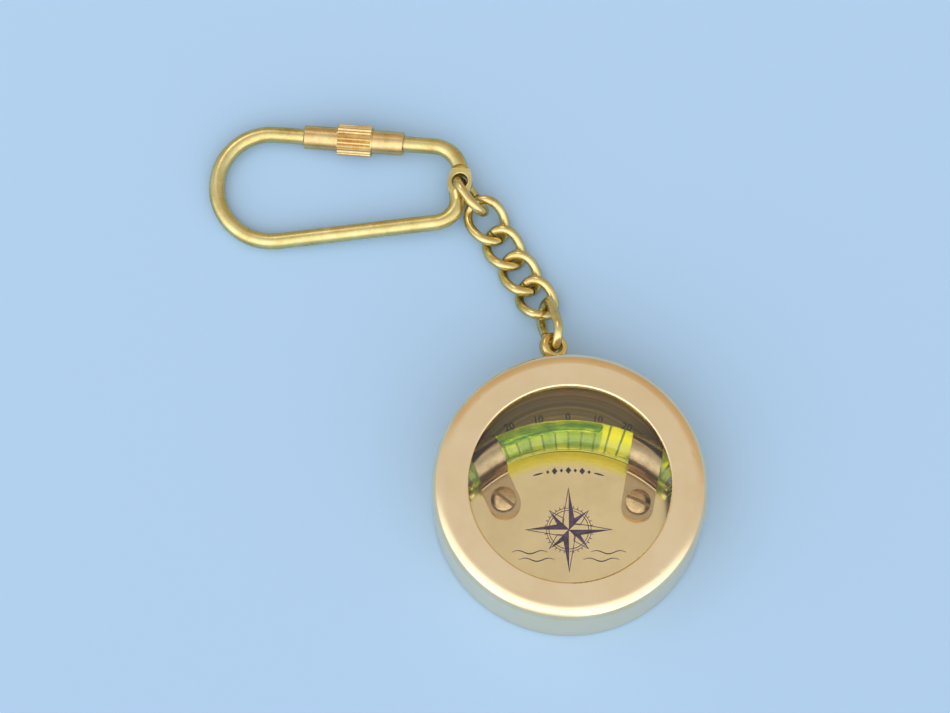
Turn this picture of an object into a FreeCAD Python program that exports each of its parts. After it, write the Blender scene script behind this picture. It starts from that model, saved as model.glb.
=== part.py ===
"""Pocket clinometer on a key chain: round brass case, curved bubble vial, curb chain, screw-lock clasp.

Millimetres, +Z up.  The case lies on its back: the origin is the centre of the back face, +Z points out
of the dial and +Y points to the top of the dial.  The chain and the clasp lie beside the case on the
same plane.
"""
import FreeCAD, Part
import math
import os

Vector = FreeCAD.Vector
X, Y, Z = Vector(1, 0, 0), Vector(0, 1, 0), Vector(0, 0, 1)
ORIGIN = Vector(0, 0, 0)

# ---------------------------------------------------------------- driving dimensions
# case
CASE_R = 23.0  # outside radius of the case
CASE_H = 13.2  # height of the case
CASE_WALL = 2.0  # thickness of the side wall
BEZEL_T = 1.2  # thickness of the front ring
WINDOW_R = 16.9  # radius of the window in the front ring
RIM_ROUND = 2.2  # rounding of the front outer edge
WINDOW_ROUND = 0.3  # rounding of the window's edge
FOOT_CHAMFER = 0.3  # chamfer of the back outer edge
COVER_T = 1.9  # thickness of the back cover
COVER_LEDGE = 0.8  # width of the ledge that the back cover seats on
DIAL_T = 0.8  # thickness of the dial plate
CRYSTAL_T = 1.5  # thickness of the crystal
RING_T = 0.55  # thickness of the crystal's retaining ring
RING_W = 0.9  # radial width of the retaining ring
RING_GROOVE = 0.35  # depth of its groove in the wall
RING_GAP_DEG = 14.0  # opening of the split in the ring
FIT = 0.05  # clearance of seated discs and rings
THREAD_FIT = 0.02  # clearance of screws and spigots in their holes

# vial
ARC_R = 25.0  # radius of the vial's centre line
ARC_TOP = 10.2  # height of the arc's highest point over the dial centre
TUBE_R = 2.6  # outside radius of the vial
TUBE_BORE_R = 2.0  # bore radius of the vial
TUBE_HALF_DEG = 47.0  # half of the vial's arc
PLUG_DEG = 2.5  # arc length of each end plug
FLUID_FIT = 0.02  # film between the fluid or the plugs and the bore
BUBBLE_R = 1.25  # radius of the long air bubble
BUBBLE_RISE = 0.68  # height of the bubble's axis over the vial's axis
BUBBLE_HALF_DEG = 20.0  # half of the bubble's arc, without its round ends
BUBBLE_AT_DEG = 6.0  # rest place of the bubble, anticlockwise from the arc's top
BUBBLE_FILM = 0.05  # fluid kept clear round the bubble

# clips and their screws
STRAP_T = 0.45  # thickness of the clip strap
STRAP_W = 5.4  # width of the clip strap
STRAP_FIT = 0.05  # clearance of the strap round the vial
STRAP_BEND_R = 0.4  # small bend beside the vial
TAB_REACH = 3.2  # tab length past the screw
LEFT_SCREW = Vector(-11.0, -0.4, 0)
RIGHT_SCREW = Vector(11.65, -0.85, 0)
LEFT_LEAN_DEG = 24.0  # lean of the left strap to the left
RIGHT_LEAN_DEG = -10.0  # lean of the right strap to the right
SCREW_R = 1.0
SCREW_HOLE_DEPTH = 1.5  # depth of the tapped hole in the back cover
HEAD_R = 2.1
HEAD_H = 1.2
HEAD_DOME = 0.45  # part of the head's height that is domed
SLOT_W = 0.55
SLOT_DEPTH = 0.55
LEFT_SLOT_DEG = -38.0
RIGHT_SLOT_DEG = -25.0

# hanging eye on the case wall
EYE_CLOCK_DEG = 5.4  # place of the eye, anticlockwise from the top of the dial
EYE_STANDOFF = 3.1  # distance of the eye's centre from the case wall
EYE_Z = 6.0  # height of the eye's centre
EYE_R = 2.4  # outside radius of the eye
EYE_HOLE_R = 1.25
EYE_T = 2.1  # thickness of the eye
EYE_ROUND = 0.6  # rounding of the eye's outer edges
EYE_HOLE_ROUND = 0.3  # rounding of the hole's edges
EYE_TURN_DEG = 24.0  # turn of the eye about its stem
EYE_STEM_R = 1.3
SPIGOT_R = 0.9  # spigot riveted through the case wall

# chain
LINK_WIRE_R = 0.8
SEAM = 0.25  # gap at the butt seam of each link
CURB_LENGTH = 7.2  # centre-line length of a curb link
CURB_WIDTH = 5.6  # centre-line width of a curb link
CURB_TWIST = 1.0  # height of the twist over the link's middle plane
LONG_CURB_LENGTH = 7.9  # the second link is opened a little
LONG_CURB_WIDTH = 6.0
CURB_POINTS = 28
CURB_HANG = 2.0 * LINK_WIRE_R + 0.18  # hooked neighbours, centre line to centre line
CHAIN_HEADING_DEG = 30.8  # lie of the curb links, anticlockwise from +Y
CHAIN_OFFSET = Vector(-2.744, 9.716, 0)  # from the eye to the middle of the first curb link
END_TIP_DEG = 9.0  # tip-up of the outer curb links towards the upright links
CASE_LINK_HALF_W = 2.6  # upright link in the case eye: half width of its centre line
CASE_LINK_HALF_RUN = 2.25  # half length of its straight legs
CASE_LINK_REACH = 2.5  # from the eye's centre to the centre of the bow that hangs in it
CASE_LINK_HEADING_DEG = 14.0
CASE_LINK_RISE_DEG = -32.0  # slope down from the eye to the chain
CASE_LINK_LEAN_DEG = 24.0  # lean of its top to the right
CLASP_LINK_HALF_W = 2.57  # upright link in the clasp eye
CLASP_LINK_HALF_RUN = 0.99
CLASP_LINK_REACH = 2.24
CLASP_LINK_HEADING_DEG = 35.6
CLASP_LINK_RISE_DEG = 0.0
CLASP_LINK_LEAN_DEG = -24.0  # lean of its top to the left

# clasp, in its own plane: origin at the hinge, x along the sleeve towards the hinge
CLASP_OFFSET = Vector(-15.914, 30.856, 0)  # from the eye to the hinge
CLASP_HINGE_Z = 3.25
CLASP_TURN_DEG = -5.2
CLASP_TILT_DEG = 3.17  # the clasp leans on its collar and on the first link
CLASP_TILT_TOWARD_DEG = 43.4
WIRE_R = 1.375
SLEEVE_AXIS_Y = 6.21  # distance of the sleeve's axis from the hinge
LOOP_LEFT_X = -42.22  # leftmost reach of the wire's centre line
LOOP_FOOT = Vector(-5.42, -7.985, 0)  # a point of the long straight side
LOOP_SLOPE_DEG = 11.5  # slope of the long straight side
UPPER_BEND_R = 9.2
LOWER_BEND_R = 9.9
HEEL_BEND_R = 4.1
GATE_BEND_R = 5.0
FRAME_NECK_X = -0.15  # centre line of the frame's wire beside the hinge
GATE_NECK_X = -0.1
EYE_PLATE_T = 1.03  # thickness of each flattened eye
HALF_LAP_GAP = 0.025  # each eye's distance from the middle plane
PLATE_HALF_W = 2.1
PLATE_TOP_HALF_W = 1.5
PLATE_TOP_Y = 2.2
PLATE_FOOT_HALF_W = 1.62
PLATE_FOOT_Y = -2.4
PLATE_LINE_Y = 1.78  # line cut across the top of the frame's eye
PLATE_LINE_W = 0.18
PLATE_LINE_DEPTH = 0.2
NECK_HALF_W = 1.88  # half width of the flattened neck inside the eye
NECK_RUN = 2.2  # length over which the wire flattens into its eye
BUSH_R = 1.65
BUSH_BORE_R = 1.3
BUSH_FLARE = 0.28  # rounding of the bush's bore at both ends
BUSH_FIT = 0.04
SHOULDER_R = 2.9  # radius of the gate's half-lap shoulder
LAP_R = 2.2  # radius cut out of the frame's lower half
SLEEVE_LEFT_X = -27.92
SLEEVE_LENGTH = 17.5
SLEEVE_R = 2.05
SLEEVE_FIT = 0.08  # clearance of the sleeve on the gate wire
COLLAR_START = 5.8  # start of the knurled collar from the sleeve's left end
COLLAR_LENGTH = 6.2
COLLAR_R = 2.7
RIDGES = 24
RIDGE_DEPTH = 0.3
SLEEVE_CHAMFER = 0.2
MOUTH_FLARE = 0.35  # countersink at the sleeve's mouth
NOSE_LENGTH = 0.45  # tapered nose of the frame inside the sleeve's mouth
NOSE_TIP_R = 0.35
NOSE_GAP = 0.75  # distance from the nose to the gate's free end

# ---------------------------------------------------------------- derived places
BORE_R = CASE_R - CASE_WALL
DIAL_Z = COVER_T + DIAL_T
CRYSTAL_TOP = CASE_H - BEZEL_T
CRYSTAL_Z = CRYSTAL_TOP - CRYSTAL_T
ARC_CENTRE = Vector(0, ARC_TOP - ARC_R, 0)
STRAP_IN_R = TUBE_R + STRAP_FIT
STRAP_OUT_R = STRAP_IN_R + STRAP_T
VIAL_Z = DIAL_Z + STRAP_OUT_R
TAB_Z = DIAL_Z + 2 * STRAP_T
SLEEVE_BORE_R = WIRE_R + SLEEVE_FIT


def heading(angle_deg):
    """Unit vector in the plane, anticlockwise from +Y."""
    a = math.radians(angle_deg)
    return Vector(-math.sin(a), math.cos(a), 0)


def polar(centre, radius, angle_deg):
    """Point on a circle in the plane, anticlockwise from +X."""
    a = math.radians(angle_deg)
    return centre + Vector(radius * math.cos(a), radius * math.sin(a), 0)


def line(a, b):
    return Part.LineSegment(a, b).toShape()


def arc(a, mid, b):
    return Part.Arc(a, mid, b).toShape()


def lathe(points, axis_point=ORIGIN, angle_deg=360.0):
    """Solid turned from a closed outline of (radius, z) pairs round a vertical axis."""
    corners = [axis_point + Vector(r, 0, z) for r, z in points]
    outline = Part.makePolygon(corners + corners[:1])
    return Part.Face(outline).revolve(axis_point, Z, angle_deg)


def disc(radius, z, height):
    return Part.makeCylinder(radius, height, Vector(0, 0, z))


def edges_at(shape, radius, z):
    """Full circular edges of one radius and height."""
    return [e for e in shape.Edges
            if e.Curve.TypeId == "Part::GeomCircle"
            and abs(e.Curve.Radius - radius) < 1e-4 and abs(e.Curve.Center.z - z) < 1e-4]


# ---------------------------------------------------------------- case
def case_body():
    ledge_r = BORE_R + COVER_LEDGE
    groove_r = BORE_R + RING_GROOVE
    body = lathe([
        (ledge_r, 0), (CASE_R - FOOT_CHAMFER, 0), (CASE_R, FOOT_CHAMFER), (CASE_R, CASE_H),
        (WINDOW_R, CASE_H), (WINDOW_R, CRYSTAL_TOP), (BORE_R, CRYSTAL_TOP),
        (BORE_R, CRYSTAL_Z), (groove_r, CRYSTAL_Z), (groove_r, CRYSTAL_Z - RING_T - FIT),
        (BORE_R, CRYSTAL_Z - RING_T - FIT), (BORE_R, COVER_T), (ledge_r, COVER_T)])
    body = body.makeFillet(RIM_ROUND, edges_at(body, CASE_R, CASE_H))
    body = body.makeFillet(WINDOW_ROUND, edges_at(body, WINDOW_R, CASE_H))
    return body.cut(spigot(THREAD_FIT))


def back_cover():
    cover = disc(BORE_R + COVER_LEDGE - FIT, 0, COVER_T)
    for at in (LEFT_SCREW, RIGHT_SCREW):
        cover = cover.cut(Part.makeCylinder(SCREW_R + THREAD_FIT, SCREW_HOLE_DEPTH,
                                            at + Vector(0, 0, COVER_T - SCREW_HOLE_DEPTH)))
    return cover


def dial_plate():
    plate = disc(BORE_R - FIT, COVER_T, DIAL_T)
    for at in (LEFT_SCREW, RIGHT_SCREW):
        plate = plate.cut(Part.makeCylinder(SCREW_R + FIT, CASE_H, at))
    return plate


def crystal():
    return disc(BORE_R - FIT, CRYSTAL_Z, CRYSTAL_T)


def crystal_ring():
    outer_r = BORE_R + RING_GROOVE - FIT
    low = CRYSTAL_Z - RING_T
    ring = disc(outer_r, low, RING_T).cut(disc(outer_r - RING_W, low, RING_T))
    half = math.radians(RING_GAP_DEG / 2)
    far = 2 * CASE_R
    wedge = Part.Face(Part.makePolygon([
        Vector(0, 0, low), Vector(far * math.sin(half), -far, low),
        Vector(-far * math.sin(half), -far, low), Vector(0, 0, low)]))
    return ring.cut(wedge.extrude(Vector(0, 0, RING_T)))


# ---------------------------------------------------------------- vial
def arc_point(turn_deg, radius=ARC_R, z=0.0):
    """Point of the vial's arc, turned anticlockwise from the top of the dial."""
    return ARC_CENTRE + heading(turn_deg) * radius + Vector(0, 0, z)


def arc_rod(section_r, z, from_deg, to_deg):
    """Round rod bent along the vial's arc, from one turn angle to the other."""
    start = arc_point(from_deg, z=z)
    across = heading(from_deg).cross(Z)
    face = Part.Face(Part.Wire(Part.Circle(start, across, section_r).toShape()))
    return face.revolve(ARC_CENTRE + Vector(0, 0, z), Z, to_deg - from_deg)


def vial_tube():
    outside = arc_rod(TUBE_R, VIAL_Z, -TUBE_HALF_DEG, TUBE_HALF_DEG)
    return outside.cut(arc_rod(TUBE_BORE_R, VIAL_Z, -TUBE_HALF_DEG, TUBE_HALF_DEG))


def vial_plug(side):
    """End plug of the vial; side is +1 at the left end and -1 at the right end."""
    ends = sorted((side * (TUBE_HALF_DEG - PLUG_DEG), side * TUBE_HALF_DEG))
    return arc_rod(TUBE_BORE_R - FLUID_FIT, VIAL_Z, ends[0], ends[1])


def bubble(film=0.0):
    z = VIAL_Z + BUBBLE_RISE
    low, high = BUBBLE_AT_DEG - BUBBLE_HALF_DEG, BUBBLE_AT_DEG + BUBBLE_HALF_DEG
    radius = BUBBLE_R + film
    body = arc_rod(radius, z, low, high)
    for turn in (low, high):
        body = body.fuse(Part.makeSphere(radius, arc_point(turn, z=z)))
    return body.removeSplitter()


def vial_fluid():
    reach = TUBE_HALF_DEG - PLUG_DEG
    fluid = arc_rod(TUBE_BORE_R - FLUID_FIT, VIAL_Z, -reach, reach)
    return fluid.cut(bubble(BUBBLE_FILM)).removeSplitter()


# ---------------------------------------------------------------- clips and screws
def clip_section():
    """Section of a clip across the vial: a loop round the vial and two layers that run to the screw."""
    tab_rho = ARC_R / 2
    top = VIAL_Z + STRAP_OUT_R
    inside = ARC_R - STRAP_OUT_R
    lower_top = DIAL_Z + STRAP_T
    bend_z = TAB_Z + STRAP_BEND_R
    slant = math.sqrt(0.5) * STRAP_BEND_R

    def at(rho, z):
        return ARC_CENTRE + Vector(rho, 0, z)

    outline = Part.Wire([
        line(at(tab_rho, DIAL_Z), at(ARC_R, DIAL_Z)),
        arc(at(ARC_R, DIAL_Z), at(ARC_R + STRAP_OUT_R, VIAL_Z), at(ARC_R, top)),
        arc(at(ARC_R, top), at(ARC_R - STRAP_OUT_R * math.sqrt(0.5), VIAL_Z + STRAP_OUT_R * math.sqrt(0.5)),
            at(inside, VIAL_Z)),
        line(at(inside, VIAL_Z), at(inside, bend_z)),
        arc(at(inside, bend_z), at(inside - STRAP_BEND_R + slant, bend_z - slant),
            at(inside - STRAP_BEND_R, TAB_Z)),
        line(at(inside - STRAP_BEND_R, TAB_Z), at(tab_rho, TAB_Z)),
        line(at(tab_rho, TAB_Z), at(tab_rho, DIAL_Z))])
    # the space inside the loop, a rounded drop that narrows where the two layers meet
    hole_in = ARC_R - STRAP_IN_R
    slant_in = STRAP_IN_R * math.sqrt(0.5)
    hole = Part.Wire([
        arc(at(ARC_R, lower_top), at(ARC_R + STRAP_IN_R, VIAL_Z), at(ARC_R, VIAL_Z + STRAP_IN_R)),
        arc(at(ARC_R, VIAL_Z + STRAP_IN_R),
            at(ARC_R - slant_in, VIAL_Z + slant_in), at(hole_in, VIAL_Z)),
        line(at(hole_in, VIAL_Z), at(hole_in, lower_top)),
        line(at(hole_in, lower_top), at(ARC_R, lower_top))])
    return Part.Face(outline).cut(Part.Face(hole))


def clip(screw, lean_deg):
    """Saddle clip: the section is turned about the vial's arc centre and trimmed to the strap's outline."""
    turned = clip_section().Faces[0].revolve(ARC_CENTRE, Z, 180)
    along = heading(lean_deg)
    across = along.cross(Z)
    half = STRAP_W / 2
    start = screw - along * (TAB_REACH - half)
    far = screw + along * ARC_R
    tip = start - along * half
    outline = Part.Wire([
        arc(start - across * half, tip, start + across * half),
        line(start + across * half, far + across * half),
        line(far + across * half, far - across * half),
        line(far - across * half, start - across * half)])
    strap = Part.Face(outline).extrude(Vector(0, 0, CASE_H))
    shape = turned.common(strap)
    return shape.cut(Part.makeCylinder(SCREW_R + FIT, CASE_H, screw))


def clip_screw(screw, slot_deg):
    """Round-head slotted screw seated on the clip's tab."""
    head_edge = TAB_Z + HEAD_H - HEAD_DOME
    dome_r = (HEAD_R ** 2 + HEAD_DOME ** 2) / (2 * HEAD_DOME)
    head = Part.makeCylinder(HEAD_R, HEAD_H, Vector(0, 0, TAB_Z))
    head = head.common(Part.makeSphere(dome_r, Vector(0, 0, head_edge + HEAD_DOME - dome_r)))
    shank_low = COVER_T - SCREW_HOLE_DEPTH + FIT
    shape = head.fuse(Part.makeCylinder(SCREW_R, TAB_Z - shank_low, Vector(0, 0, shank_low)))
    slot = Part.makeBox(4 * HEAD_R, SLOT_W, SLOT_DEPTH + 1,
                        Vector(-2 * HEAD_R, -SLOT_W / 2, TAB_Z + HEAD_H - SLOT_DEPTH))
    slot.rotate(ORIGIN, Z, slot_deg)
    shape = shape.cut(slot)
    shape.translate(screw)
    return shape


# ---------------------------------------------------------------- hanging eye
EYE_OUT = heading(EYE_CLOCK_DEG)
EYE_REACH = CASE_R + EYE_STANDOFF
EYE_CENTRE = EYE_OUT * EYE_REACH + Vector(0, 0, EYE_Z)
EYE_AXIS = FreeCAD.Rotation(EYE_OUT, EYE_TURN_DEG).multVec(Z)


def spigot(clearance=0.0):
    """Spigot of the eye through the case wall, with its end flush inside the wall."""
    inner = math.sqrt(BORE_R ** 2 - SPIGOT_R ** 2)
    start = EYE_OUT * inner + Vector(0, 0, EYE_Z)
    if clearance:
        start = start - EYE_OUT
    length = (EYE_CENTRE - start).Length - EYE_R / 2
    return Part.makeCylinder(SPIGOT_R + clearance, length, start, EYE_OUT)


def hanging_eye():
    """Rounded drilled eye with a short stem that is shaped to the round wall."""
    half = EYE_T / 2
    ring = Part.makeCylinder(EYE_R, EYE_T, Vector(0, 0, -half))
    ring = ring.makeFillet(EYE_ROUND, edges_at(ring, EYE_R, half) + edges_at(ring, EYE_R, -half))
    ring = ring.cut(Part.makeCylinder(EYE_HOLE_R, EYE_T, Vector(0, 0, -half)))
    hole_edges = edges_at(ring, EYE_HOLE_R, half) + edges_at(ring, EYE_HOLE_R, -half)
    ring = ring.makeFillet(EYE_HOLE_ROUND, hole_edges)
    hole = Part.makeCylinder(EYE_HOLE_R + EYE_HOLE_ROUND, EYE_T, Vector(0, 0, -half))
    turn = FreeCAD.Placement(EYE_CENTRE, FreeCAD.Rotation(Z, EYE_AXIS))
    ring.Placement = turn
    hole.Placement = turn
    stem_start = EYE_OUT * (CASE_R - CASE_WALL / 2) + Vector(0, 0, EYE_Z)
    stem_length = EYE_REACH - (CASE_R - CASE_WALL / 2) - EYE_HOLE_R - EYE_HOLE_ROUND
    stem = Part.makeCylinder(EYE_STEM_R, stem_length, stem_start, EYE_OUT)
    stem = stem.cut(disc(CASE_R, 0, CASE_H))
    return ring.fuse([stem, spigot().cut(hole)]).removeSplitter()


# ---------------------------------------------------------------- chain
CLASP_HINGE = EYE_OUT * EYE_REACH + CLASP_OFFSET + Vector(0, 0, CLASP_HINGE_Z)


def link_placement(centre, heading_deg, rise_deg, lean_deg):
    """Local x runs towards the clasp, raised by rise_deg; lean_deg leans the top to the right of it."""
    along = heading(heading_deg)
    left = Z.cross(along)
    rise = FreeCAD.Rotation(left, -rise_deg)
    x = rise.multVec(along)
    lean = FreeCAD.Rotation(x, lean_deg)
    up = lean.multVec(x.cross(left))
    turn = FreeCAD.Rotation(x, up.cross(x), up, "XYZ")
    return FreeCAD.Placement(centre, turn)


def curb_point(length, width, angle_deg):
    """Centre line of a curb link: an oval that is twisted so that its neighbours pass through it."""
    a = math.radians(angle_deg)
    return Vector(length / 2 * math.cos(a), width / 2 * math.sin(a), -CURB_TWIST * math.sin(2 * a))


def curb_link(length, width, seam_deg):
    """Twisted link of round wire with a butt seam."""
    gap_deg = math.degrees(SEAM / width)
    step = (360 - 2 * gap_deg) / (CURB_POINTS - 1)
    points = [curb_point(length, width, seam_deg + gap_deg + n * step) for n in range(CURB_POINTS)]
    curve = Part.BSplineCurve()
    curve.interpolate(points)
    first = curve.FirstParameter
    ring = Part.Circle(curve.value(first), curve.tangent(first)[0], LINK_WIRE_R).toShape()
    return Part.Wire([curve.toShape()]).makePipeShell([Part.Wire(ring)], True, False)


def upright_link(half_run, half_width):
    """Flat oval link of round wire, standing on edge, with a butt seam in its lower leg."""
    leg = Part.Face(Part.Wire(Part.Circle(Vector(-half_run, 0, half_width), X, LINK_WIRE_R).toShape()))
    parts = []
    for side in (1, -1):
        run = leg.extrude(Vector(2 * half_run, 0, 0))
        bow = leg.revolve(Vector(-half_run, 0, 0), Y, -180)
        for piece in (run, bow):
            if side < 0:
                piece.rotate(ORIGIN, Y, 180)
            parts.append(piece)
    shape = parts[0].fuse(parts[1:]).removeSplitter()
    seam = Part.makeBox(SEAM, 4 * LINK_WIRE_R, 4 * LINK_WIRE_R,
                        Vector(-SEAM / 2, -2 * LINK_WIRE_R, -half_width - 2 * LINK_WIRE_R))
    return shape.cut(seam)


def hung_placement(eye, reach, half_run, heading_deg, rise_deg, lean_deg):
    """Place of an upright link whose bow passes level through an eye."""
    place = link_placement(ORIGIN, heading_deg, rise_deg, lean_deg)
    rise = math.radians(rise_deg)
    level = place.Rotation.multVec(Vector(math.cos(rise), 0, -math.sin(rise)))
    place.Base = eye + level * reach + place.Rotation.multVec(X) * half_run
    return place


def lowest(shape):
    return shape.optimalBoundingBox(False, False).ZMin


def chain_links():
    """The six links, from link 6 in the case eye to link 1 in the clasp eye, as name to solid."""
    links = {}
    links["chain_link_6"] = upright_link(CASE_LINK_HALF_RUN, CASE_LINK_HALF_W)
    links["chain_link_6"].Placement = hung_placement(
        EYE_CENTRE, CASE_LINK_REACH, CASE_LINK_HALF_RUN,
        CASE_LINK_HEADING_DEG, CASE_LINK_RISE_DEG, CASE_LINK_LEAN_DEG)

    sizes = {5: (CURB_LENGTH, CURB_WIDTH, -END_TIP_DEG), 4: (CURB_LENGTH, CURB_WIDTH, 0),
             3: (CURB_LENGTH, CURB_WIDTH, 0), 2: (LONG_CURB_LENGTH, LONG_CURB_WIDTH, END_TIP_DEG)}
    middle = EYE_OUT * EYE_REACH + CHAIN_OFFSET
    for number in (5, 4, 3, 2):
        length, width, rise = sizes[number]
        seam_deg = 180 if number % 2 == 0 else 0
        link = curb_link(length, width, seam_deg)
        link.Placement = link_placement(middle, CHAIN_HEADING_DEG, rise, 0)
        link.translate(Vector(0, 0, -lowest(link)))
        links["chain_link_%d" % number] = link
        if number > 2:
            pitch = (length + sizes[number - 1][0]) / 2 - CURB_HANG
            middle = middle + heading(CHAIN_HEADING_DEG) * pitch

    links["chain_link_1"] = upright_link(CLASP_LINK_HALF_RUN, CLASP_LINK_HALF_W)
    links["chain_link_1"].Placement = hung_placement(
        CLASP_HINGE, -CLASP_LINK_REACH, -CLASP_LINK_HALF_RUN,
        CLASP_LINK_HEADING_DEG, CLASP_LINK_RISE_DEG, CLASP_LINK_LEAN_DEG)
    return links


# ---------------------------------------------------------------- clasp
def clasp_placement():
    toward = polar(ORIGIN, 1, CLASP_TILT_TOWARD_DEG)
    tilt = FreeCAD.Rotation(toward.cross(Z), CLASP_TILT_DEG)
    return FreeCAD.Placement(CLASP_HINGE, tilt.multiply(FreeCAD.Rotation(Z, CLASP_TURN_DEG)))


def rounded_path(points, radii):
    """Planar path of straight runs joined by tangent arcs; radii belong to the inner points."""
    edges = []
    start = points[0]
    for before, corner, after, radius in zip(points, points[1:], points[2:], radii):
        back = (before - corner).normalize()
        ahead = (after - corner).normalize()
        half = back.getAngle(ahead) / 2
        run = radius / math.tan(half)
        middle = corner + (back + ahead).normalize() * (radius / math.sin(half) - radius)
        edges.append(line(start, corner + back * run))
        edges.append(arc(corner + back * run, middle, corner + ahead * run))
        start = corner + ahead * run
    edges.append(line(start, points[-1]))
    return Part.Wire(edges)


def bent_wire(path, radius):
    first = path.Edges[0]
    start = first.valueAt(first.FirstParameter)
    ring = Part.Circle(start, first.tangentAt(first.FirstParameter), radius).toShape()
    return path.makePipeShell([Part.Wire(ring)], True, False)


def flattened(neck_x, from_y, to_y, level):
    """Neck in which the round wire flattens and widens into its eye."""
    ring = Part.Circle(Vector(neck_x, from_y, 0), Y, WIRE_R).toShape()
    oval = Part.Ellipse(Vector(NECK_HALF_W, to_y, level), Vector(0, to_y, level + EYE_PLATE_T / 2),
                        Vector(0, to_y, level)).toShape()
    return Part.makeLoft([Part.Wire(ring), Part.Wire(oval)], True)


def frame_plate():
    """The frame's flattened eye, cut square towards the gate."""
    def side(sign):
        return arc(Vector(sign * PLATE_FOOT_HALF_W, PLATE_FOOT_Y, 0), Vector(sign * PLATE_HALF_W, 0, 0),
                   Vector(sign * PLATE_TOP_HALF_W, PLATE_TOP_Y, 0))

    outline = Part.Wire(Part.sortEdges([
        side(-1), line(Vector(-PLATE_TOP_HALF_W, PLATE_TOP_Y, 0), Vector(PLATE_TOP_HALF_W, PLATE_TOP_Y, 0)),
        side(1), line(Vector(PLATE_FOOT_HALF_W, PLATE_FOOT_Y, 0),
                      Vector(-PLATE_FOOT_HALF_W, PLATE_FOOT_Y, 0))])[0])
    plate = Part.Face(outline).extrude(Vector(0, 0, EYE_PLATE_T))
    groove_at = Vector(-PLATE_HALF_W, PLATE_LINE_Y - PLATE_LINE_W / 2, EYE_PLATE_T - PLATE_LINE_DEPTH)
    groove = Part.makeBox(2 * PLATE_HALF_W, PLATE_LINE_W, PLATE_LINE_DEPTH, groove_at)
    plate = plate.cut(groove)
    plate.translate(Vector(0, 0, HALF_LAP_GAP))
    return plate


def half_space(radius, sign):
    """Round cutter on the hinge axis, over (+1) or under (-1) the middle plane."""
    low = -HALF_LAP_GAP if sign > 0 else HALF_LAP_GAP - CASE_H
    return Part.makeCylinder(radius, CASE_H, Vector(0, 0, low))


def clasp_frame():
    slope = math.tan(math.radians(LOOP_SLOPE_DEG))

    def long_side(x):
        return Vector(x, LOOP_FOOT.y + (x - LOOP_FOOT.x) * slope, 0)

    nose_x = SLEEVE_LEFT_X
    neck_y = PLATE_FOOT_Y - NECK_RUN
    path = rounded_path([
        Vector(nose_x, SLEEVE_AXIS_Y, 0), Vector(LOOP_LEFT_X, SLEEVE_AXIS_Y, 0), long_side(LOOP_LEFT_X),
        long_side(FRAME_NECK_X), Vector(FRAME_NECK_X, neck_y + NECK_RUN / 2, 0)],
        [UPPER_BEND_R, LOWER_BEND_R, HEEL_BEND_R])
    wire = bent_wire(path, WIRE_R)
    nose = Part.makeCone(WIRE_R, NOSE_TIP_R, NOSE_LENGTH, Vector(nose_x, SLEEVE_AXIS_Y, 0), X)
    neck = flattened(FRAME_NECK_X, neck_y + NECK_RUN / 2, PLATE_FOOT_Y + NECK_RUN / 2,
                     HALF_LAP_GAP + EYE_PLATE_T / 2)
    shape = wire.fuse([nose, neck, frame_plate()])
    shape = shape.cut(half_space(LAP_R, -1))
    return shape.cut(disc(BUSH_R + THREAD_FIT / 2, -CASE_H, 2 * CASE_H))


def clasp_gate():
    path = rounded_path([
        Vector(SLEEVE_LEFT_X + NOSE_LENGTH + NOSE_GAP, SLEEVE_AXIS_Y, 0),
        Vector(GATE_NECK_X, SLEEVE_AXIS_Y, 0),
        Vector(GATE_NECK_X, 0, 0)], [GATE_BEND_R])
    wire = bent_wire(path, WIRE_R)
    plate = Part.makeCylinder(PLATE_HALF_W, EYE_PLATE_T, Vector(0, 0, -HALF_LAP_GAP - EYE_PLATE_T))
    web = Part.makeBox(2 * WIRE_R, SHOULDER_R, EYE_PLATE_T,
                       Vector(GATE_NECK_X - WIRE_R, 0, -HALF_LAP_GAP - EYE_PLATE_T))
    outside = disc(LAP_R - 2 * FIT, -CASE_H, 2 * CASE_H)
    below = Part.makeBox(2 * CASE_H, 2 * CASE_H, CASE_H,
                         Vector(-CASE_H, -CASE_H, -CASE_H - HALF_LAP_GAP - EYE_PLATE_T))
    wire = wire.cut(half_space(SHOULDER_R, 1)).cut(below.common(outside))
    eye_zone = Part.makeBox(2 * CASE_H, CASE_H, 2 * CASE_H, Vector(-CASE_H, -CASE_H, -CASE_H))
    wire = wire.cut(eye_zone)
    shape = wire.fuse([plate, web.common(Part.makeCylinder(SHOULDER_R, CASE_H, Vector(0, 0, -CASE_H)))])
    return shape.cut(disc(BUSH_R + BUSH_FIT, -CASE_H, 2 * CASE_H))


def hinge_bush():
    """Tubular rivet, flush with both eyes and rounded at the ends of its bore."""
    half = HALF_LAP_GAP + EYE_PLATE_T
    bush = disc(BUSH_R, -half, 2 * half).cut(disc(BUSH_BORE_R, -half, 2 * half))
    bore_edges = edges_at(bush, BUSH_BORE_R, half) + edges_at(bush, BUSH_BORE_R, -half)
    return bush.makeFillet(BUSH_FLARE, bore_edges)


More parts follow.
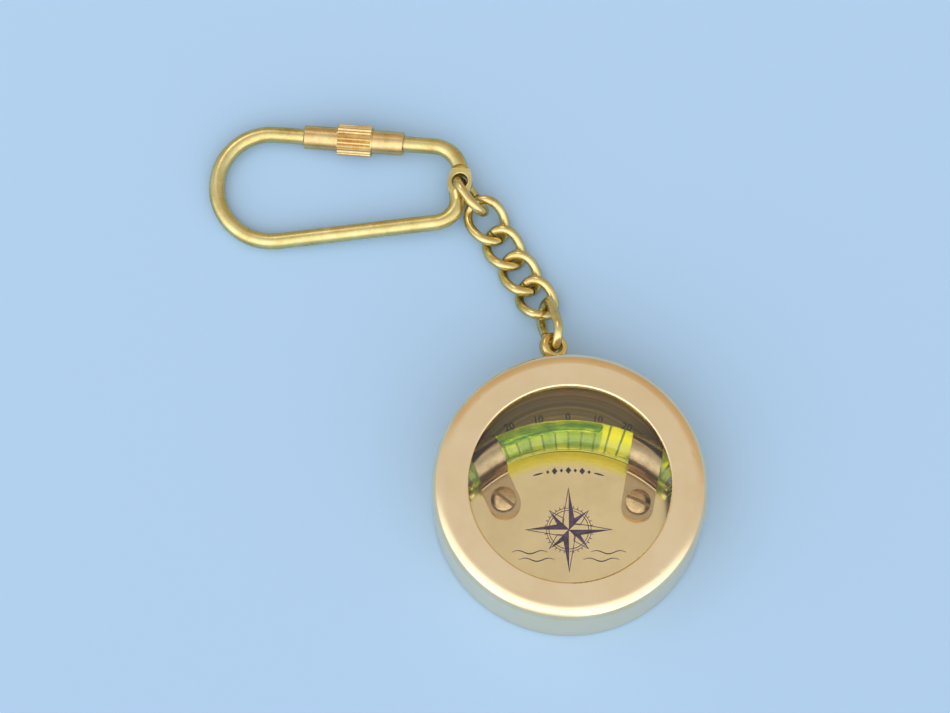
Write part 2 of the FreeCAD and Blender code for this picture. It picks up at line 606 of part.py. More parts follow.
def lock_sleeve():
    """Turned sleeve with a collar of straight ridges, bored for the gate wire and flared at its mouth."""
    c = SLEEVE_CHAMFER
    collar_end = COLLAR_START + COLLAR_LENGTH
    root_r = COLLAR_R - RIDGE_DEPTH
    body = lathe([
        (SLEEVE_BORE_R + MOUTH_FLARE, 0), (SLEEVE_R - c, 0), (SLEEVE_R, c), (SLEEVE_R, COLLAR_START),
        (root_r, COLLAR_START), (root_r, collar_end), (SLEEVE_R, collar_end),
        (SLEEVE_R, SLEEVE_LENGTH - c), (SLEEVE_R - c, SLEEVE_LENGTH), (SLEEVE_BORE_R, SLEEVE_LENGTH),
        (SLEEVE_BORE_R, MOUTH_FLARE)])
    pitch = 2 * math.pi * root_r / RIDGES
    ridges = []
    for n in range(RIDGES):
        ridge = Part.Face(Part.makePolygon([
            Vector(root_r - c, -pitch / 2, 0), Vector(root_r + RIDGE_DEPTH * 0.1, -pitch / 2, 0),
            Vector(COLLAR_R, -pitch / 6, 0), Vector(COLLAR_R, pitch / 6, 0),
            Vector(root_r + RIDGE_DEPTH * 0.1, pitch / 2, 0), Vector(root_r - c, pitch / 2, 0),
            Vector(root_r - c, -pitch / 2, 0)])).extrude(Vector(0, 0, COLLAR_LENGTH - 2 * c))
        ridge.translate(Vector(0, 0, COLLAR_START + c))
        ridge.rotate(ORIGIN, Z, n * 360 / RIDGES)
        ridges.append(ridge)
    body = body.fuse(ridges).removeSplitter()
    body.Placement = FreeCAD.Placement(Vector(SLEEVE_LEFT_X, SLEEVE_AXIS_Y, 0), FreeCAD.Rotation(Z, X))
    return body


# ---------------------------------------------------------------- assembly
def build():
    nodes = {
        "case_body": case_body(),
        "back_cover": back_cover(),
        "crystal": crystal(),
        "crystal_ring": crystal_ring(),
        "dial_plate": dial_plate(),
        "vial_tube": vial_tube(),
        "vial_fluid": vial_fluid(),
        "vial_bubble": bubble(),
        "left_vial_plug": vial_plug(1),
        "right_vial_plug": vial_plug(-1),
        "left_clip": clip(LEFT_SCREW, LEFT_LEAN_DEG),
        "right_clip": clip(RIGHT_SCREW, RIGHT_LEAN_DEG),
        "left_clip_screw": clip_screw(LEFT_SCREW, LEFT_SLOT_DEG),
        "right_clip_screw": clip_screw(RIGHT_SCREW, RIGHT_SLOT_DEG),
        "hanging_eye": hanging_eye(),
    }
    nodes.update(chain_links())
    place = clasp_placement()
    for name, make in (("clasp_frame", clasp_frame), ("clasp_gate", clasp_gate),
                       ("hinge_bush", hinge_bush), ("lock_sleeve", lock_sleeve)):
        shape = make()
        shape.Placement = place.multiply(shape.Placement)
        nodes[name] = shape
    return nodes


os.makedirs("parts", exist_ok=True)
NODES = build()
for name, shape in NODES.items():
    shape.exportStep("parts/%s.step" % name)
    facts = (name, len(shape.Solids), shape.isValid(), shape.Volume)
    print("%-18s solids %d  valid %s  volume %.2f" % facts)
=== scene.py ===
import bpy
import bmesh
import math
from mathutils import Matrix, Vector


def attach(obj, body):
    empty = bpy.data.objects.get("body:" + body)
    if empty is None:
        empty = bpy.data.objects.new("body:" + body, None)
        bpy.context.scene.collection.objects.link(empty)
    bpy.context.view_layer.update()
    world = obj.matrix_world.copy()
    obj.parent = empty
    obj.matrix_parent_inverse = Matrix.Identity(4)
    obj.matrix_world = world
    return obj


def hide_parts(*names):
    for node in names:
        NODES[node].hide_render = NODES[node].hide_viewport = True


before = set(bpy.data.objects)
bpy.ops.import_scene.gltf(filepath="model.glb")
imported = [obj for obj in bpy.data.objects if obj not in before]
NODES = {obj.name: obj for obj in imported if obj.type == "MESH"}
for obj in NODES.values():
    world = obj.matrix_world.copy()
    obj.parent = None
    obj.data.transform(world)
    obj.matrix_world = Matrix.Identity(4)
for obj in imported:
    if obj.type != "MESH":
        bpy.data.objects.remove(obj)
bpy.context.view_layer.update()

MM = 0.001

# ---------------------------------------------------------------- sizes, in millimetres
DIAL_Z = 2.7  # the dial's face
PRINT_T = 0.015  # thickness of the print on it

# the vial runs along an arc about ARC_CENTRE
ARC_CENTRE = (0.0, -14.8)
ARC_R = 25.0
VIAL_Z = 5.8
FLUID_R = 2.02
FLUID_HALF = 44.5  # half of the fluid's arc, in degrees

# heights and distances between which a surface changes its colour
WALL_FADE_Z = (9.0, 11.6)  # the case's side wall under its rounded rim, where a paler painted reflection fades in
CREST_Z = (3.4, 9.0)  # the clips, from their tabs to their crests, up which the painted shade and highlight run
HEAD_FOOT_Z = (4.22, 4.40)  # the foot of a screw's head, where shade is painted
PAINTED_SHADE_R = (26.2, 28.4)  # the dial outside the vial, from the arc's centre, where a brown shade is painted
PAINTED_SHADE_Y = (3.0, 8.0)
PAINTED_DYE_LIGHT_R = (20.3, 21.2)  # the dial inside the vial, where the yellow light through the dye is painted
PAINTED_DYE_LIGHT_Y = (-1.0, 2.0)
SHADE_LINE_R = 26.2  # the middle of a painted dark line along the bubble, from the arc's centre
SHADE_LINE_FALL = 0.17  # its fall for each millimetre to the left
SHADE_LINE_EDGE = (0.12, 0.6)  # the painted dark line fades between these distances from its middle

NOISE_SPAN = (0.3, 0.7)  # the part of a noise's range that most of its values fall in

BRASS_IOR = 1.45
CRYSTAL_IOR = 1.45
VIAL_IOR = 1.47
FLUID_IOR = 1.33


# ---------------------------------------------------------------- shader graphs
MIX_COLOURS = (6, 7)  # a Mix node's two colour inputs
MIX_RESULT = 2  # and its colour output


def linear(r, g, b):
    """A display colour of 0 to 255 as the linear colour that a shader takes."""
    out = []
    for v in (r, g, b):
        v = v / 255
        out.append(v / 12.92 if v <= 0.04045 else ((v + 0.055) / 1.055) ** 2.4)
    return (*out, 1.0)


class Graph:
    """The nodes of a material or a world, with short ways to add and join them."""

    def __init__(self, owner, output="ShaderNodeOutputMaterial"):
        self.owner = owner
        self.owner.use_nodes = True
        self.tree = self.owner.node_tree
        self.tree.nodes.clear()
        self.out = self.tree.nodes.new(output)

    def add(self, kind, **settings):
        node = self.tree.nodes.new(kind)
        for name, value in settings.items():
            setattr(node, name, value)
        return node

    def put(self, socket, value):
        """Joins a socket to another node's output, or gives it a plain value."""
        if isinstance(value, bpy.types.NodeSocket):
            self.tree.links.new(value, socket)
        else:
            socket.default_value = value

    def maths(self, operation, *values):
        node = self.add("ShaderNodeMath", operation=operation)
        for i, v in enumerate(values):
            self.put(node.inputs[i], v)
        return node.outputs[0]

    def plus(self, one, two):
        return self.maths("ADD", one, two)

    def less(self, one, two):
        return self.maths("SUBTRACT", one, two)

    def times(self, one, two):
        return self.maths("MULTIPLY", one, two)

    def place(self):
        """The object's own coordinates in millimetres."""
        coords = self.add("ShaderNodeTexCoord")
        scaled = self.add("ShaderNodeVectorMath", operation="SCALE")
        self.put(scaled.inputs[0], coords.outputs["Object"])
        scaled.inputs["Scale"].default_value = 1 / MM
        return scaled.outputs[0]

    def moved(self, vector, location=(0, 0, 0), rotation=(0, 0, 0), scale=(1, 1, 1)):
        node = self.add("ShaderNodeMapping")
        self.put(node.inputs["Vector"], vector)
        node.inputs["Location"].default_value = location
        node.inputs["Rotation"].default_value = rotation
        node.inputs["Scale"].default_value = scale
        return node.outputs[0]

    def split(self, vector):
        """The x, y and z of a vector."""
        node = self.add("ShaderNodeSeparateXYZ")
        self.put(node.inputs[0], vector)
        return tuple(node.outputs)

    def join(self, x, y):
        node = self.add("ShaderNodeCombineXYZ")
        self.put(node.inputs[0], x)
        self.put(node.inputs[1], y)
        return node.outputs[0]

    def reach(self, x, y):
        """Distance from the +Z axis."""
        return self.maths("SQRT", self.plus(self.times(x, x), self.times(y, y)))

    def turned(self, vector):
        """Radius and height about +Z, so that a noise over them runs in rings."""
        x, y, z = self.split(vector)
        return self.join(self.reach(x, y), z)

    def round_vial(self, vector):
        """Distance from the arc's centre and run along the vial."""
        x, y = self.split(self.moved(vector, location=(-ARC_CENTRE[0], -ARC_CENTRE[1], 0)))[:2]
        return self.reach(x, y), self.times(self.maths("ARCTAN2", x, y), ARC_R)

    def noise(self, vector, scale, detail, roughness):
        node = self.add("ShaderNodeTexNoise")
        self.put(node.inputs["Vector"], vector)
        node.inputs["Scale"].default_value = scale
        node.inputs["Detail"].default_value = detail
        node.inputs["Roughness"].default_value = roughness
        return node.outputs["Fac"]

    def ramp(self, value, stops):
        """Colours along a value, each stop a place and a linear colour."""
        node = self.add("ShaderNodeValToRGB")
        self.put(node.inputs[0], value)
        while len(node.color_ramp.elements) < len(stops):
            node.color_ramp.elements.new(0.5)
        for element, (at, colour) in zip(node.color_ramp.elements, stops):
            element.position = at
            element.color = colour
        return node.outputs[0]

    def spread(self, value, span, low=0.0, high=1.0):
        """Low at the span's start, high at its end."""
        node = self.add("ShaderNodeMapRange")
        self.put(node.inputs["Value"], value)
        node.inputs["From Min"].default_value, node.inputs["From Max"].default_value = span
        node.inputs["To Min"].default_value = low
        node.inputs["To Max"].default_value = high
        return node.outputs[0]

    def blend(self, share, one, two):
        """One colour at a share of 0, the other at 1."""
        node = self.add("ShaderNodeMix", data_type="RGBA")
        self.put(node.inputs["Factor"], share)
        for i, colour in zip(MIX_COLOURS, (one, two)):
            self.put(node.inputs[i], colour)
        return node.outputs[MIX_RESULT]

    def bump(self, height, strength, depth):
        """A normal from a height, whose full range is a depth in millimetres."""
        node = self.add("ShaderNodeBump")
        self.put(node.inputs["Height"], height)
        node.inputs["Strength"].default_value = strength
        node.inputs["Distance"].default_value = depth * MM
        return node.outputs[0]

    def principled(self, **values):
        node = self.add("ShaderNodeBsdfPrincipled")
        for name, value in values.items():
            self.put(node.inputs[name.replace("_", " ")], value)
        return node

    def surface(self, shader):
        self.put(self.out.inputs["Surface"], shader.outputs[0])
        return self.owner

    def brass(self, colour, haze, normal, metallic=1.0, **more):
        """A metal surface with its haze as roughness."""
        return self.surface(self.principled(Base_Color=colour, Metallic=metallic, Roughness=haze,
                                            IOR=BRASS_IOR, Normal=normal, **more))

    def clear(self, shader, tint):
        """A clear shader that lets lamps through, so that what lies behind it is lit."""
        path = self.add("ShaderNodeLightPath")
        pane = self.add("ShaderNodeBsdfTransparent")
        pane.inputs["Color"].default_value = tint
        mix = self.add("ShaderNodeMixShader")
        self.put(mix.inputs[0], path.outputs["Is Shadow Ray"])
        self.put(mix.inputs[1], shader.outputs[0])
        self.put(mix.inputs[2], pane.outputs[0])
        return self.surface(mix)


def new_graph(name):
    return Graph(bpy.data.materials.new(name))


# ---------------------------------------------------------------- brass
PAINTED_SIDE_SHEEN = (240, 220, 184)  # painted reflection: paler than the front ring, so that the side wall reads whiter, and mixed in by half
SATIN_EDGE = (0.82, 0.72, 0.48, 1.0)  # what satin brass reflects at a grazing angle
CLIP_EDGE = (0.8, 0.66, 0.45, 1.0)


def polished_brass(name, light, deep, rough, rings):
    """Turned and buffed brass: faint rings, slow clouds of colour and haze where fingers wore it, and a
    paler painted reflection on the side wall.
    """
    g = new_graph(name)
    at = g.place()
    z = g.split(at)[2]
    clouds = g.noise(at, scale=0.11, detail=4.0, roughness=0.6)
    fine = g.noise(at, scale=2.2, detail=5.0, roughness=0.65)
    lathe = g.noise(g.turned(at), scale=9.0, detail=4.0, roughness=0.7)
    face = g.ramp(clouds, [(0.30, linear(*deep)), (0.62, linear(*light))])
    # painted reflection: everything below the rim, the side wall among it, takes half of a paler colour
    colour = g.blend(g.spread(z, WALL_FADE_Z, 0.5, 0.0), face, linear(*PAINTED_SIDE_SHEEN))
    haze = g.plus(g.spread(clouds, NOISE_SPAN, rough - 0.03, rough + 0.07),
                  g.spread(fine, NOISE_SPAN, -0.02, 0.03))
    height = g.plus(g.times(lathe, rings), g.times(fine, 0.25))
    return g.brass(colour, haze, g.bump(height, 0.10, 0.02), Specular_Tint=(1.0, 0.98, 0.95, 1.0))


def satin_brass(name, light, deep, dark, rough, grain):
    """Tumbled brass: fine pits, a soft patina in slow patches and a few brighter rubbed spots."""
    g = new_graph(name)
    at = g.place()
    slow = g.noise(at, scale=0.28, detail=4.0, roughness=0.6)
    spots = g.noise(at, scale=1.3, detail=5.0, roughness=0.7)
    pits = g.noise(at, scale=7.0, detail=4.0, roughness=0.7)
    patina = g.plus(g.times(slow, 0.7), g.times(spots, 0.3))
    colour = g.ramp(patina, [(0.30, linear(*dark)), (0.44, linear(*deep)), (0.62, linear(*light))])
    haze = g.spread(spots, NOISE_SPAN, rough + 0.06, rough - 0.04)
    height = g.plus(g.times(pits, 0.6), g.times(spots, 0.4))
    return g.brass(colour, haze, g.bump(height, 0.16 * grain, 0.025), Specular_Tint=SATIN_EDGE)


def dial_brass():
    """The dial's buffed face, with a painted brown shade over the top of the vial and the dye's yellow light
    painted under it.
    """
    g = new_graph("dial_brass")
    at = g.place()
    y = g.split(at)[1]
    radius = g.round_vial(at)[0]
    clouds = g.noise(at, scale=0.11, detail=4.0, roughness=0.6)
    fine = g.noise(at, scale=1.6, detail=5.0, roughness=0.65)
    streaks = g.noise(g.turned(at), scale=1.1, detail=4.0, roughness=0.7)
    clean = g.ramp(clouds, [(0.30, linear(228, 204, 150)), (0.62, linear(238, 214, 162))])
    # painted shade: streaked dark browns that stand in for the shade over the top of the vial, which is also
    # made rougher and less metallic
    painted_shade_tones = g.ramp(streaks, [(0.38, linear(98, 78, 60)), (0.50, linear(146, 114, 82)),
                               (0.62, linear(214, 164, 104))])
    over_vial = g.times(g.spread(radius, PAINTED_SHADE_R), g.spread(y, PAINTED_SHADE_Y))
    painted_dial_shade = g.times(over_vial, g.spread(streaks, (0.35, 0.7), 1.0, 0.55))
    # painted light: the yellow light that the dye casts on the dial under the vial is painted into its
    # colour
    dyed = g.times(g.spread(radius, PAINTED_DYE_LIGHT_R, 0.0, 0.75), g.spread(y, PAINTED_DYE_LIGHT_Y))
    colour = g.blend(painted_dial_shade, g.blend(dyed, clean, linear(238, 216, 78)), painted_shade_tones)
    haze = g.plus(g.spread(clouds, NOISE_SPAN, 0.10, 0.19), g.times(painted_dial_shade, 0.08))
    height = g.plus(g.times(streaks, 0.2), g.times(fine, 0.2))
    return g.brass(colour, haze, g.bump(height, 0.10, 0.02),
                   metallic=g.spread(painted_dial_shade, (0.0, 1.0), 1.0, 0.5))


def clip_brass():
    """Old brass strip, marked all over, with light painted by height: tan on the tab, painted shade brown up
    its sides and a painted highlight on the crest.
    """
    g = new_graph("clip_brass")
    at = g.place()
    z = g.split(at)[2]
    slow = g.noise(at, scale=0.5, detail=4.0, roughness=0.6)
    marks = g.noise(at, scale=2.4, detail=5.0, roughness=0.7)
    # painted light: the colour goes by height, darker up the sides and bright on the crest, with slow noise
    painted_light_level = g.plus(g.spread(z, CREST_Z), g.times(g.less(slow, 0.5), 0.35))
    colour = g.ramp(painted_light_level, [(0.06, linear(190, 162, 115)), (0.24, linear(146, 120, 87)),
                            (0.70, linear(122, 99, 72)), (0.98, linear(190, 168, 128))])
    haze = g.spread(marks, NOISE_SPAN, 0.15, 0.27)
    return g.brass(colour, haze, g.bump(marks, 0.18, 0.03), Specular_Tint=CLIP_EDGE)


def screw_brass():
    """Screw heads with painted shade round the foot of the head."""
    g = new_graph("screw_brass")
    at = g.place()
    z = g.split(at)[2]
    spots = g.noise(at, scale=1.0, detail=5.0, roughness=0.7)
    pits = g.noise(at, scale=6.0, detail=4.0, roughness=0.7)
    # painted shade: darker, and rougher, below the foot of the head
    painted_foot_shade = g.spread(z, HEAD_FOOT_Z, 1.0, 0.0)
    bright = g.ramp(spots, [(0.35, linear(180, 150, 102)), (0.62, linear(206, 178, 130))])
    colour = g.blend(painted_foot_shade, bright, linear(132, 100, 62))
    haze = g.plus(g.spread(spots, NOISE_SPAN, 0.18, 0.26), g.times(painted_foot_shade, 0.25))
    return g.brass(colour, haze, g.bump(pits, 0.08, 0.02))


# ---------------------------------------------------------------- glass, dye, air, rubber and ink
def crystal_glass():
    """A clean disc with faint smears across it."""
    g = new_graph("crystal_glass")
    along = g.moved(g.place(), rotation=(0, 0, 0.5), scale=(0.5, 1.6, 1))
    smear = g.noise(along, scale=0.35, detail=4.0, roughness=0.6)
    shader = g.principled(Base_Color=(1.0, 1.0, 0.99, 1.0), Transmission_Weight=1.0, IOR=CRYSTAL_IOR,
                          Roughness=g.spread(smear, (0.45, 0.75), 0.0, 0.02))
    return g.clear(shader, (0.97, 0.97, 0.96, 1))


def vial_glass():
    """Drawn tube, a little wavy, tinted a little yellow and with a faint painted glow in the dye's colour.
    """
    g = new_graph("vial_glass")
    wave = g.noise(g.place(), scale=0.5, detail=3.0, roughness=0.5)
    # painted light: the tube emits a faint yellow light, though it is no lamp
    shader = g.principled(Base_Color=(0.99, 1.0, 0.80, 1.0), Transmission_Weight=1.0, IOR=VIAL_IOR,
                          Roughness=0.0, Emission_Color=(0.62, 0.52, 0.03, 1.0),
                          Emission_Strength=0.02, Normal=g.bump(wave, 0.25, 0.1))
    return g.clear(shader, (0.95, 0.98, 0.9, 1))


def vial_fluid():
    """A bright yellow-green dye with a painted glow: it emits a little light, though it is no lamp."""
    g = new_graph("vial_fluid")
    at = g.place()
    drift = g.noise(at, scale=0.45, detail=4.0, roughness=0.6)
    grains = g.noise(at, scale=1.4, detail=4.0, roughness=0.65)
    colour = g.ramp(drift, [(0.35, linear(238, 240, 24)), (0.65, linear(252, 246, 36))])
    # painted light: the emission comes in green and yellow patches
    glow = g.ramp(grains, [(0.40, (0.08, 0.40, 0.12, 1)), (0.54, (0.15, 0.48, 0.08, 1)),
                           (0.68, (0.55, 0.56, 0.04, 1))])
    shader = g.principled(Base_Color=colour, Transmission_Weight=1.0, IOR=FLUID_IOR, Roughness=0.0,
                          Emission_Color=glow, Emission_Strength=0.09)
    return g.clear(shader, (0.85, 0.95, 0.25, 1))


def bubble_air():
    """Air in the yellow-green fluid: its wall bends light the other way, and its tint is painted shade,
    darkest along a line and in blots.
    """
    g = new_graph("air_bubble")
    at = g.place()
    ripple = g.plus(g.noise(at, scale=0.9, detail=4.0, roughness=0.6),
                    g.times(g.noise(at, scale=0.32, detail=2.0, roughness=0.5), 1.6))
    radius, run = g.round_vial(at)
    blots = g.noise(g.join(g.times(run, 0.45), radius), scale=1.1, detail=5.0, roughness=0.65)
    # painted shade: the dark line in the bubble's tint falls away to the left
    edge = g.plus(SHADE_LINE_R, g.times(g.maths("MINIMUM", run, 0.0), SHADE_LINE_FALL))
    off = g.maths("ABSOLUTE", g.less(radius, edge))
    shade = g.less(blots, g.spread(off, SHADE_LINE_EDGE, 0.14, 0.0))
    tint = g.ramp(shade, [(0.38, (0.16, 0.50, 0.36, 1)), (0.48, (0.50, 0.80, 0.42, 1)),
                          (0.58, (0.92, 0.98, 0.55, 1))])
    shader = g.add("ShaderNodeBsdfGlass")
    g.put(shader.inputs["Color"], tint)
    g.put(shader.inputs["Normal"], g.bump(ripple, 0.7, 0.35))
    shader.inputs["Roughness"].default_value = 0.0
    shader.inputs["IOR"].default_value = 1 / FLUID_IOR
    return g.clear(shader, (0.9, 0.97, 0.8, 1))


def rubber():
    """The dark, grained plugs at the vial's ends."""
    g = new_graph("rubber")
    grain = g.noise(g.place(), scale=5.0, detail=4.0, roughness=0.6)
    colour = g.ramp(grain, [(0.3, linear(24, 30, 20)), (0.7, linear(44, 52, 36))])
    return g.surface(g.principled(Base_Color=colour, Roughness=0.6, Normal=g.bump(grain, 0.3, 0.05)))


def ink(name, dark, worn):
    """Printed ink, paler in worn patches."""
    g = new_graph(name)
    wear = g.noise(g.place(), scale=0.7, detail=5.0, roughness=0.7)
    colour = g.ramp(wear, [(0.42, linear(*dark)), (0.60, linear(*worn))])
    return g.surface(g.principled(Base_Color=colour, Roughness=0.5, Specular_IOR_Level=0.2))


# ---------------------------------------------------------------- a material for each node
CASE = polished_brass("case_brass", (249, 227, 188), (244, 218, 174), rough=0.14, rings=0.4)
BACK = polished_brass("back_brass", (232, 204, 152), (212, 178, 122), rough=0.2, rings=1.0)
DIAL = dial_brass()
CLIP = clip_brass()
SCREW = screw_brass()
CHAIN = satin_brass("chain_brass", (228, 212, 154), (213, 193, 130), (184, 160, 98), rough=0.24, grain=0.8)
EYE = satin_brass("eye_brass", (232, 208, 142), (216, 186, 116), (186, 150, 84), rough=0.22, grain=0.6)
CLASP = satin_brass("clasp_brass", (220, 206, 148), (204, 187, 124), (176, 155, 92), rough=0.29, grain=0.8)
SLEEVE = satin_brass("sleeve_brass", (226, 200, 148), (208, 178, 124), (176, 144, 92), rough=0.24, grain=0.8)
CRYSTAL = crystal_glass()
GLASS = vial_glass()
FLUID = vial_fluid()
AIR = bubble_air()
RUBBER = rubber()
INK = ink("dial_ink", (20, 13, 15), (36, 25, 28))
PURPLE_INK = ink("ornament_ink", (58, 36, 44), (92, 58, 104))

MATERIAL_OF = {
    "case_body": CASE, "back_cover": BACK, "crystal": CRYSTAL, "crystal_ring": CASE,
    "dial_plate": DIAL, "vial_tube": GLASS, "vial_fluid": FLUID, "vial_bubble": AIR,
    "left_vial_plug": RUBBER, "right_vial_plug": RUBBER, "left_clip": CLIP, "right_clip": CLIP,
    "left_clip_screw": SCREW, "right_clip_screw": SCREW, "hanging_eye": EYE,
    "clasp_frame": CLASP, "clasp_gate": CLASP, "hinge_bush": CLASP, "lock_sleeve": SLEEVE}
for i in range(1, 7):
    MATERIAL_OF["chain_link_%d" % i] = CHAIN
for name, node in NODES.items():
    node.data.materials.clear()
    node.data.materials.append(MATERIAL_OF[name])


# ---------------------------------------------------------------- ways to make a mesh
def added(name, data):
    """A new object in the scene."""
    obj = bpy.data.objects.new(name, data)
    bpy.context.scene.collection.objects.link(obj)
    return obj


def solid(name, bm, material):
    """A new object from a closed bmesh."""
    bmesh.ops.recalc_face_normals(bm, faces=bm.faces)
    mesh = bpy.data.meshes.new(name)
    bm.to_mesh(mesh)
    bm.free()
    mesh.materials.append(material)
    return added(name, mesh)


def skin(bm, loops):
    """Smooth faces from each closed loop to the next one, and a flat cap on both ends."""
    for one, two in zip(loops, loops[1:]):
        for k in range(len(one)):
            j = (k + 1) % len(one)
            bm.faces.new((one[k], one[j], two[j], two[k])).smooth = True
    bm.faces.new(loops[0][::-1])
    bm.faces.new(loops[-1])


def on_arc(radius, degrees):
    """A point about the arc's centre, clockwise from the top of the dial, in millimetres."""
    a = math.radians(degrees)
    return (ARC_CENTRE[0] + radius * math.sin(a), ARC_CENTRE[1] + radius * math.cos(a))


def in_vial(out, up, degrees):
    """A point in the vial, from its centre line outward and up, in metres."""
    x, y = on_arc(ARC_R + out, degrees)
    return (x * MM, y * MM, (VIAL_Z + up) * MM)


# ---------------------------------------------------------------- the vial's fluid
FLUID_RINGS = 96
FLUID_SIDES = 48
FLUID_SHARP_DEG = 40


def fluid_mesh():
    """A round bar along the vial's arc with closed ends."""
    bm = bmesh.new()
    loops = []
    for i in range(FLUID_RINGS + 1):
        turn = -FLUID_HALF + 2 * FLUID_HALF * i / FLUID_RINGS
        loop = []
        for k in range(FLUID_SIDES):
            b = 2 * math.pi * k / FLUID_SIDES
            loop.append(bm.verts.new(in_vial(FLUID_R * math.cos(b), FLUID_R * math.sin(b), turn)))
        loops.append(loop)
    skin(bm, loops)
    obj = solid("dyed_fluid", bm, FLUID)
    obj.data.set_sharp_from_angle(angle=math.radians(FLUID_SHARP_DEG))
    return obj


fluid = fluid_mesh()
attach(fluid, "case")
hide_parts("vial_fluid")

# ---------------------------------------------------------------- the air bubble
# it lies against the outer wall of the bore, and is thinner towards its right end
BUBBLE_RIGHT, BUBBLE_LEFT = -12.5, 28.0  # its two ends, in degrees anticlockwise
BUBBLE_WALL = 1.95  # its outer side, from the vial's centre line
# each at the right end, with its gain over the whole length
BUBBLE_LEAN = (26, 16)  # the side of the bore that it lies on, in degrees over the horizontal
BUBBLE_THICK = (0.66, 0.10)  # half of its thickness
BUBBLE_WIDE = (0.95, 0.40)  # half of its width
BUBBLE_TIP = 0.25  # the share of its thickness that the tips keep
BUBBLE_WAVES = ((0.06, 9.0, 1.0), (0.04, 23.0, 0.0))  # in its width: height, pace and start
BUBBLE_RINGS = 110
BUBBLE_SIDES = 40


def bubble_section(share):
    """Lean, half thickness and half width at a share of the length from the right."""
    lean = math.radians(BUBBLE_LEAN[0] + BUBBLE_LEAN[1] * share)
    thick = BUBBLE_THICK[0] + BUBBLE_THICK[1] * share
    wide = BUBBLE_WIDE[0] + BUBBLE_WIDE[1] * share
    to_tip = min(share, 1 - share) * math.radians(BUBBLE_LEFT - BUBBLE_RIGHT) * ARC_R
    rounding = math.sqrt(1 - (1 - min(to_tip / wide, 1)) ** 2)
    wave = 1
    for height, pace, start in BUBBLE_WAVES:
        wave += height * math.sin(pace * share + start)
    return lean, thick * (BUBBLE_TIP + (1 - BUBBLE_TIP) * rounding), wide * rounding * wave


def bubble_mesh():
    """A long bubble of oval section with round tips."""
    bm = bmesh.new()
    loops = []
    for i in range(1, BUBBLE_RINGS):
        # rings stand closer together at both ends
        share = (1 - math.cos(math.pi * i / BUBBLE_RINGS)) / 2
        turn = -(BUBBLE_RIGHT + (BUBBLE_LEFT - BUBBLE_RIGHT) * share)
        lean, thick, wide = bubble_section(share)
        loop = []
        for k in range(BUBBLE_SIDES):
            b = 2 * math.pi * k / BUBBLE_SIDES
            out = BUBBLE_WALL - thick + thick * math.cos(b)
            across = wide * math.sin(b)
            loop.append(bm.verts.new(in_vial(out * math.cos(lean) - across * math.sin(lean),
                                             out * math.sin(lean) + across * math.cos(lean), turn)))
        loops.append(loop)
    skin(bm, loops)
    return solid("air_bubble", bm, AIR)


bubble = bubble_mesh()
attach(bubble, "bubble")
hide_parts("vial_bubble")


# ---------------------------------------------------------------- print on the dial
def plates(name, outlines, material, body="case"):
    """Thin printed shapes on the dial, each a closed outline of (x, y) in millimetres."""
    bm = bmesh.new()
    for outline in outlines:
        low = [bm.verts.new((x * MM, y * MM, DIAL_Z * MM)) for x, y in outline]
        high = [bm.verts.new((x * MM, y * MM, (DIAL_Z + PRINT_T) * MM)) for x, y in outline]
        bm.faces.new(high)
        bm.faces.new(low[::-1])
        for i in range(len(outline)):
            j = (i + 1) % len(outline)
            bm.faces.new((low[i], low[j], high[j], high[i]))
    obj = solid(name, bm, material)
    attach(obj, body)


def across_line(start, end, half):
    """The step from a line to its left side, at right angles to the way from start to end."""
    (x0, y0), (x1, y1) = start, end
    length = math.hypot(x1 - x0, y1 - y0)
    return (y0 - y1) / length * half, (x1 - x0) / length * half


def stroke(points, width):
    """One narrow quad along each run of a line."""
    out = []
    for start, end in zip(points, points[1:]):
        (x0, y0), (x1, y1) = start, end
        nx, ny = across_line(start, end, width / 2)
        out.append([(x0 + nx, y0 + ny), (x0 - nx, y0 - ny), (x1 - nx, y1 - ny), (x1 + nx, y1 + ny)])
    return out


def ribbon(points, width, tip=0.35):
    """One outline along a whole smooth line, tapered to a share of its width at both ends."""
    left, right = [], []
    last = len(points) - 1
    for i, (x, y) in enumerate(points):
        half = width / 2 * (tip + (1 - tip) * math.sin(math.pi * i / last))
        nx, ny = across_line(points[max(i - 1, 0)], points[min(i + 1, last)], half)
        left.append((x + nx, y + ny))
        right.append((x - nx, y - ny))
    return left + right[::-1]


def diamond(x, y, size, aspect):
    """A diamond about a point, with its height as 2 * size and its width as a share of that."""
    return [(x - size * aspect, y), (x, y - size), (x + size * aspect, y), (x, y + size)]


# the scale: a filled band under the vial, marks across it and numbers above
BAND_R = (23.05, 25.05)
BAND_HALF = 47  # half of its arc, in degrees
BAND_STEP = 1.5  # degrees between the points of its outline
MARK_R = (24.95, 27.0)
MARK_STEP = 5  # degrees from mark to mark
MARKS_EACH_WAY = 9
MARK_HALF = math.degrees(0.18 / 26)  # half of a mark's width, as degrees of the arc
NUMBER_R = 29.1
NUMBER_SIZE = 1.8
NUMBER_WEIGHT = 0.035  # added to each side of a stroke
NUMBER_STEP = 10  # degrees from number to number
NUMBERS_EACH_WAY = 2


def scale_band():
    """The band's outline."""
    n = round(2 * BAND_HALF / BAND_STEP)
    turns = [-BAND_HALF + 2 * BAND_HALF * i / n for i in range(n + 1)]
    inner, outer = BAND_R
    return [on_arc(outer, t) for t in turns] + [on_arc(inner, t) for t in reversed(turns)]


scale = [scale_band()]
for k in range(-MARKS_EACH_WAY, MARKS_EACH_WAY + 1):
    left, right = k * MARK_STEP - MARK_HALF, k * MARK_STEP + MARK_HALF
    scale.append([on_arc(MARK_R[0], left), on_arc(MARK_R[1], left),
                  on_arc(MARK_R[1], right), on_arc(MARK_R[0], right)])
plates("dial_scale", scale, INK)


